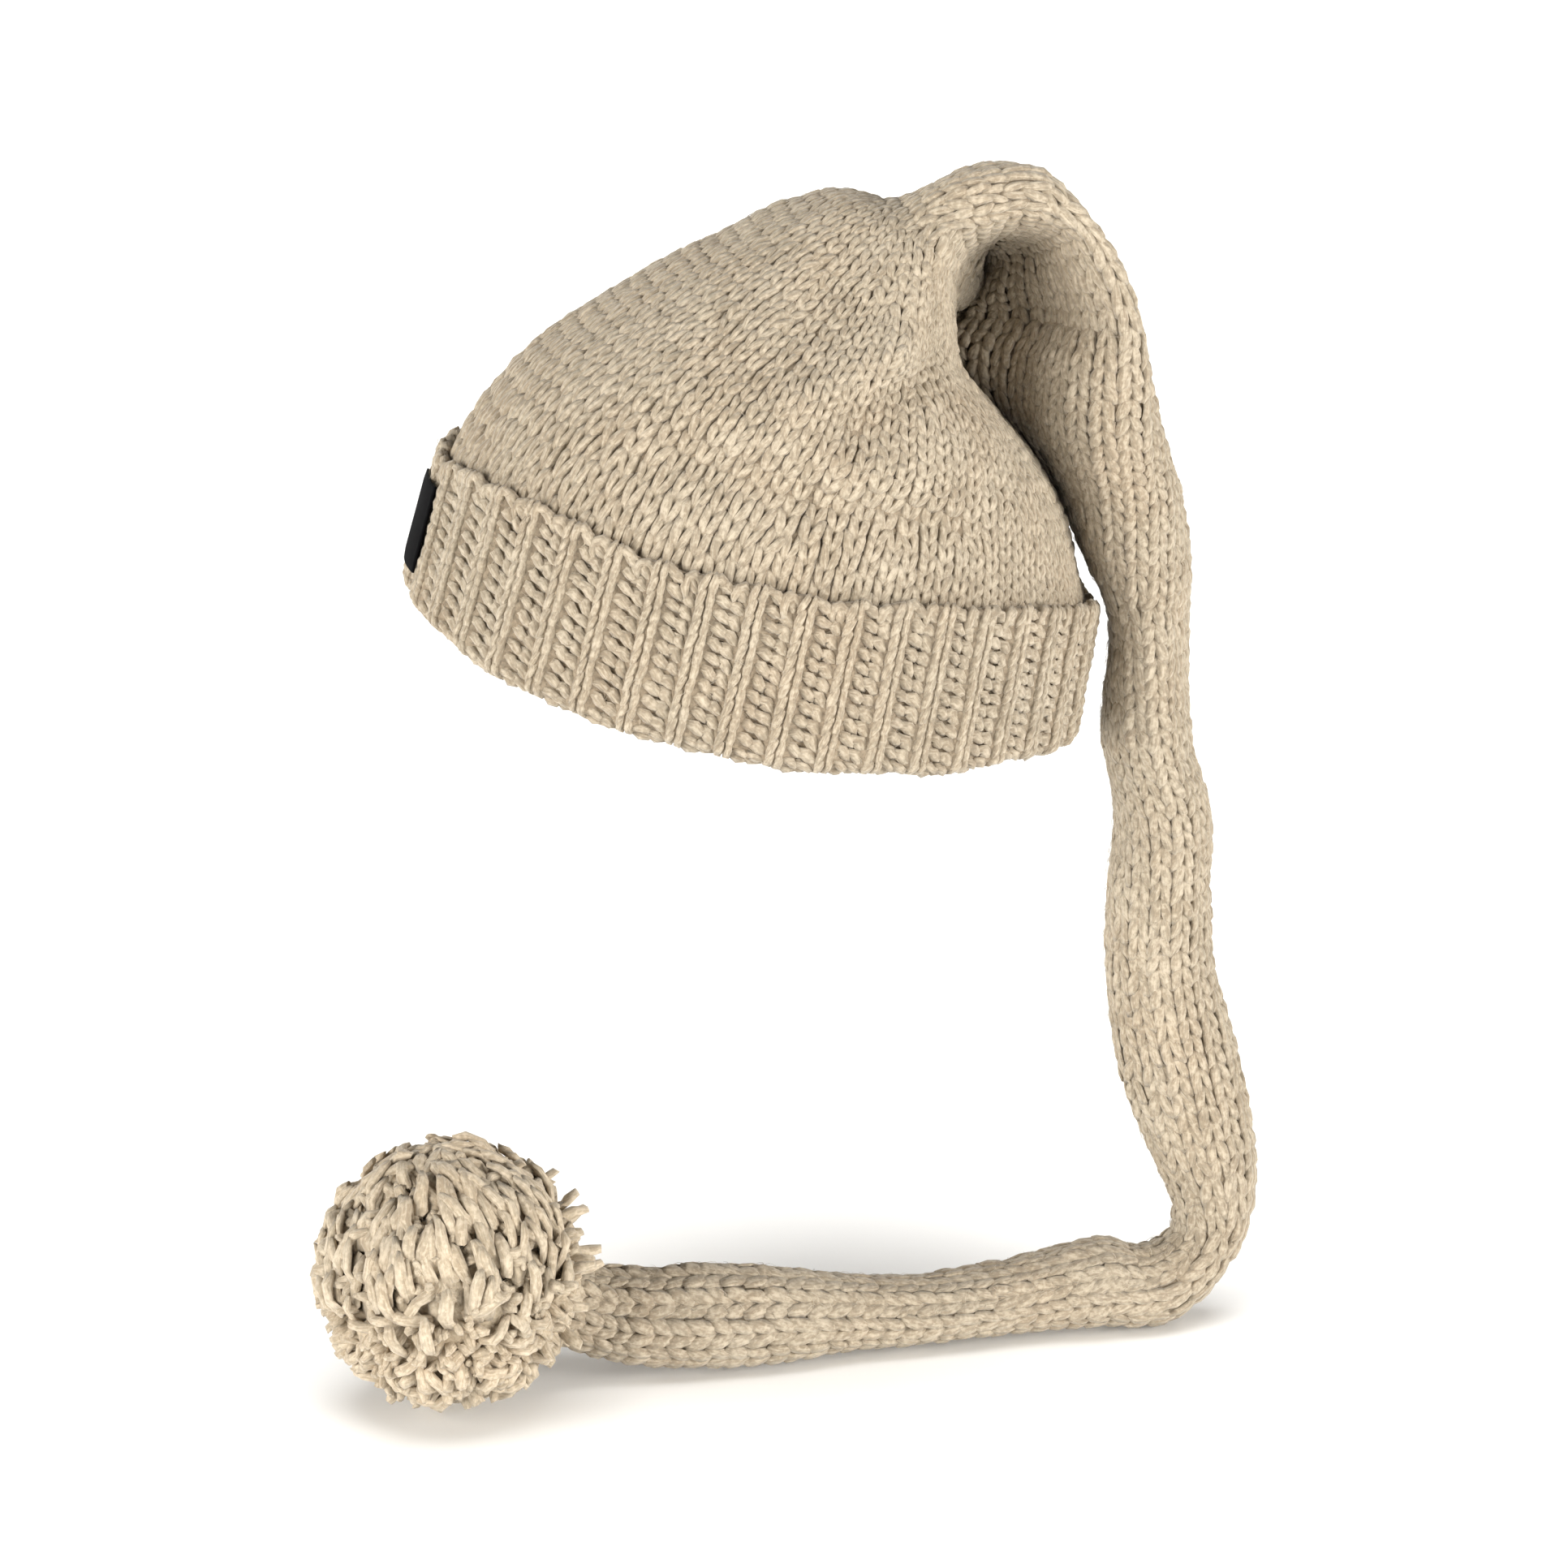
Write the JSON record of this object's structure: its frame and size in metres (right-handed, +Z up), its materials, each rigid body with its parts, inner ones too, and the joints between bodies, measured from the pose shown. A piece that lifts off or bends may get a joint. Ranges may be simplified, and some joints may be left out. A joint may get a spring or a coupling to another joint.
{
  "type": "knitted stocking cap",
  "caption": "Knitted wool cap with a folded rib cuff, a limp crown and a very long narrowing tail that bends over, hangs behind and ends in a pompom, shaped as worn.",
  "frame": {"origin": "middle of the head opening, at the folded lower edge of the cuff, where a head holds it", "axes": "+Z up, -Y to the wearer's front, +X to the wearer's left"},
  "size_m": [0.1852, 0.3076, 0.3841],
  "materials": {
    "rib_wool": "cream bulky wool in 2 by 2 rib",
    "body_wool": "cream bulky wool in stocking stitch",
    "pompom_yarn": "cut ends of cream wool yarn",
    "label_weave": "plain black woven tape"
  },
  "bodies": {
    "root": {"cuff": "rib_wool", "crown": "body_wool", "tail": "body_wool", "pompom": "pompom_yarn", "label": "label_weave"}
  },
  "joints": []
}
